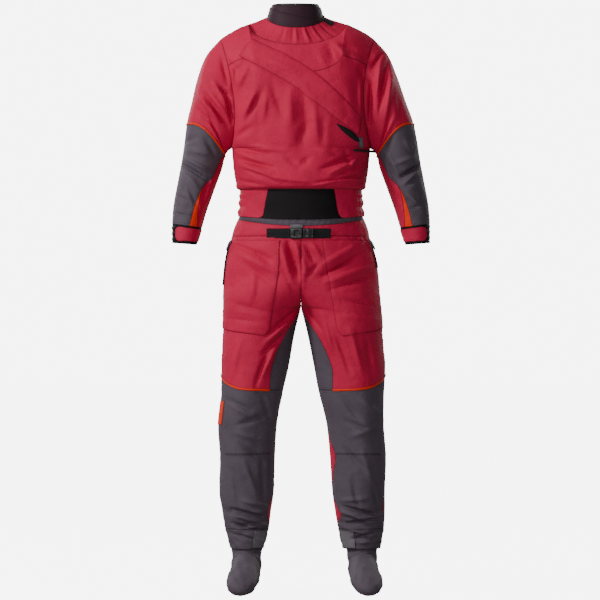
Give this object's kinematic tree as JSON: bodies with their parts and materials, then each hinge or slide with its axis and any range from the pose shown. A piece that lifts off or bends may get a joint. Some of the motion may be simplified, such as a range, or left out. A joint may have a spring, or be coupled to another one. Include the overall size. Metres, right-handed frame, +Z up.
{
  "type": "drysuit",
  "caption": "Red and grey drysuit filled out with no wearer: plum collar, diagonal chest zip flap, black waist panel, buckled belt, thigh pockets with zips, grey lower legs and sewn-in socks.",
  "frame": {"origin": "middle of the base of the neck opening, level with the top of the shoulders, where the suit is held or worn", "axes": "+Z up towards the collar, -Y out of the chest, +X towards the wearer's left sleeve"},
  "size_m": [0.6966, 0.347, 1.5855],
  "materials": {
    "shell_red": "matte",
    "shell_grey": "matte",
    "trim_orange": "matte",
    "neoprene_black": "matte",
    "collar_plum": "matte",
    "webbing_black": "matte",
    "buckle_plastic": "satin",
    "gasket_rubber": "matte",
    "strap_grey": "matte",
    "zip_black": "matte"
  },
  "bodies": {
    "suit": {"ankle_cuff_l": "shell_grey", "ankle_cuff_r": "shell_grey", "ankle_tab_l": "strap_grey", "ankle_tab_r": "strap_grey", "back": "shell_red", "belt_webbing_l": "webbing_black", "belt_webbing_r": "webbing_black", "buckle_clip": "buckle_plastic", "buckle_socket": "buckle_plastic", "calf_l": "shell_red", "calf_r": "shell_red", "chest_front": "shell_red", "collar": "collar_plum", "collar_wrap": "collar_plum", "cuff_tab_l": "shell_red", "cuff_tab_r": "shell_red", "elbow_piping_l": "trim_orange", "elbow_piping_r": "trim_orange", "entry_zip": "zip_black", "forearm_inner_l": "shell_red", "forearm_inner_r": "shell_red", "forearm_outer_l": "shell_grey", "forearm_outer_r": "shell_grey", "forearm_wedge_l": "trim_orange", "forearm_wedge_r": "trim_orange", "inner_leg_l": "shell_grey", "inner_leg_r": "shell_grey", "knee_piping_l": "trim_orange", "knee_piping_r": "trim_orange", "neck_band": "shell_red", "neck_gasket": "gasket_rubber", "overskirt_front": "neoprene_black", "overskirt_side_l": "shell_red", "overskirt_side_r": "shell_red", "pocket_zip_l": "zip_black", "pocket_zip_r": "zip_black", "shin_l": "shell_grey", "shin_r": "shell_grey", "sleeve_upper_l": "shell_red", "sleeve_upper_r": "shell_red", "sock_l": "shell_grey", "sock_r": "shell_grey", "thigh_back_l": "shell_red", "thigh_back_r": "shell_red", "thigh_front_l": "shell_red", "thigh_front_r": "shell_red", "thigh_pocket_l": "shell_red", "thigh_pocket_r": "shell_red", "waist_gusset": "shell_grey", "waistband": "shell_red", "wrist_cuff_l": "neoprene_black", "wrist_cuff_r": "neoprene_black", "yoke_front": "shell_red", "zip_flap": "shell_red", "zip_strap": "strap_grey", "zip_t_bar": "buckle_plastic"},
    "pull_l": {"pull_tab_l": "strap_grey"},
    "pull_r": {"pull_tab_r": "strap_grey"}
  },
  "joints": [
    {"name": "pocket_pull_l", "type": "hinge", "parent": "suit", "child": "pull_l", "pos_m": [-0.19282, -0.03458, -0.58377], "axis": [-0.3484, 0.8698, 0.3494], "range_deg": [0, 140]},
    {"name": "pocket_pull_r", "type": "hinge", "parent": "suit", "child": "pull_r", "pos_m": [0.19027, -0.03462, -0.58319], "axis": [-0.3338, -0.8492, -0.4092], "range_deg": [0, 140]}
  ]
}
